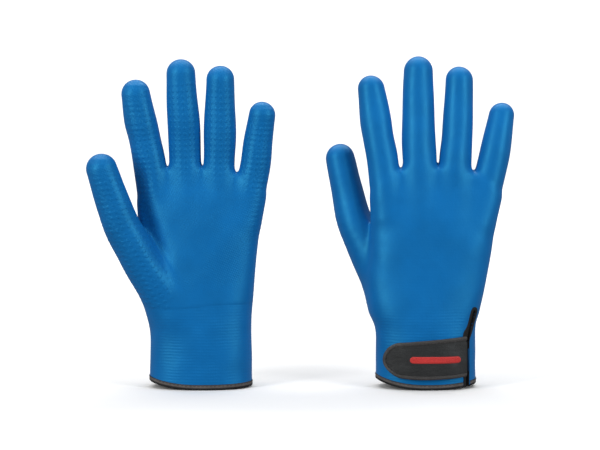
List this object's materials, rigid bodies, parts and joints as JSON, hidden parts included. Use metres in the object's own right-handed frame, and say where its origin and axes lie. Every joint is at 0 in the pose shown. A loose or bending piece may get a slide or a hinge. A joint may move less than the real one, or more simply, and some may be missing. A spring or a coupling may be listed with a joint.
{
  "type": "insulated coated gloves",
  "caption": "Pair of insulated, fully nitrile-coated safety gloves, left and right hand, with a knitted lining, bound cuff, wrist slit and hook-and-loop wrist strap.",
  "frame": {"origin": "on the surface that the gloves stand on, under the middle of the pair", "axes": "+X across the pair from the left-hand to the right-hand glove, +Y from front to back, +Z from the cuffs up to the fingertips"},
  "size_m": [0.3491, 0.0773, 0.2706],
  "materials": {
    "nitrile": "satin",
    "grip_nitrile": "embossed satin",
    "knit": "knitted",
    "thermal_pile": "brushed pile",
    "binding_tape": "woven tape",
    "strap_leather": "matte synthetic leather",
    "hook_and_loop": "hook and loop",
    "thread": "thread",
    "red_thread": "embroidered",
    "label": "woven"
  },
  "bodies": {
    "right_glove": {"right_nitrile_coat": "nitrile", "right_grip_coat": "grip_nitrile", "right_knit_carrier": "knit", "right_thermal_liner": "thermal_pile", "right_hem_binding": "binding_tape", "right_hem_stitching": "thread", "right_slit_binding": "binding_tape", "right_loop_patch": "hook_and_loop", "right_strap_anchor": "strap_leather", "right_size_label": "label"},
    "left_glove": {"left_nitrile_coat": "nitrile", "left_grip_coat": "grip_nitrile", "left_knit_carrier": "knit", "left_thermal_liner": "thermal_pile", "left_hem_binding": "binding_tape", "left_hem_stitching": "thread", "left_slit_binding": "binding_tape", "left_loop_patch": "hook_and_loop", "left_strap_anchor": "strap_leather", "left_size_label": "label"},
    "right_closure": {"right_strap": "strap_leather", "right_strap_binding": "binding_tape", "right_strap_stitching": "thread", "right_hook_tape": "hook_and_loop", "right_strap_emblem": "red_thread"},
    "left_closure": {"left_strap": "strap_leather", "left_strap_binding": "binding_tape", "left_strap_stitching": "thread", "left_hook_tape": "hook_and_loop", "left_strap_emblem": "red_thread"}
  },
  "joints": [
    {"name": "left_glove_lift", "type": "slide", "parent": "right_glove", "child": "left_glove", "axis": [0, 0, 1], "range_m": [0, 0.15]},
    {"name": "right_strap_peel", "type": "hinge", "parent": "right_glove", "child": "right_closure", "pos_m": [0.1347, -0.02133, 0], "axis": [0, 0, 1], "range_deg": [0, 150]},
    {"name": "left_strap_peel", "type": "hinge", "parent": "left_glove", "child": "left_closure", "pos_m": [-0.0493, 0.02497, 0], "axis": [0, 0, -1], "range_deg": [0, 150]}
  ]
}
